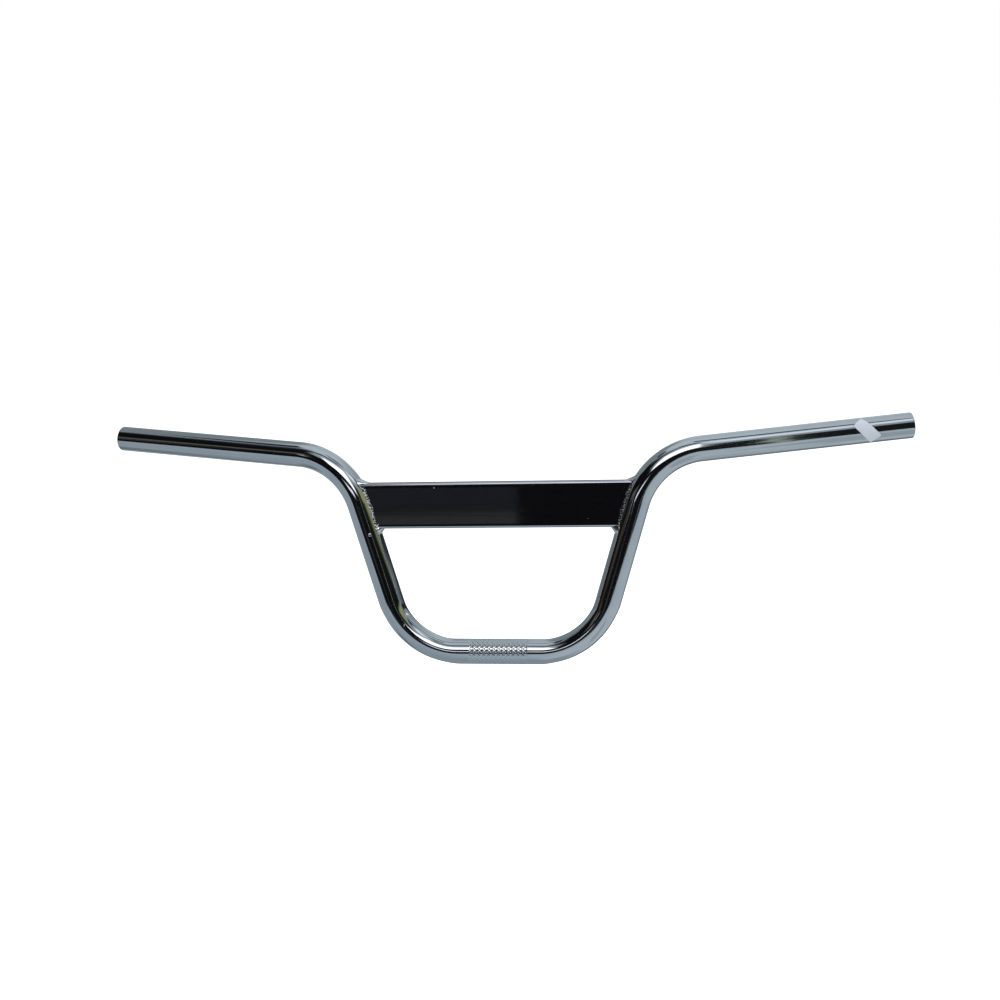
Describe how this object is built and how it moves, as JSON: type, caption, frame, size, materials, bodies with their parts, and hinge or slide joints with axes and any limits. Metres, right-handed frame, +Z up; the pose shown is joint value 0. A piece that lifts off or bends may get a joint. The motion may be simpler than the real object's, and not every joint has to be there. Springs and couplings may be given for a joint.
{
  "type": "bmx handlebar",
  "caption": "Chromed steel BMX handlebar: one round tube bent into a clamp, legs and swept grips, with a flat crossbar welded between the legs.",
  "frame": {"origin": "middle of the stem clamp, on the axis of the knurled straight run", "axes": "+X along the clamp to the right as seen from the front of the bicycle, +Y back to the rider, +Z up the rise of the bar"},
  "size_m": [0.711, 0.0609, 0.2121],
  "materials": {
    "tube_chrome": "polished chrome plate",
    "crossbar_chrome": "polished chrome plate",
    "weld_chrome": "chrome plate over a rippled weld",
    "label_paper": "plain matt paper, blank"
  },
  "bodies": {
    "root": {"handlebar_tube": "tube_chrome", "crossbar": "crossbar_chrome", "left_weld": "weld_chrome", "right_weld": "weld_chrome", "stock_label": "label_paper"}
  },
  "joints": []
}
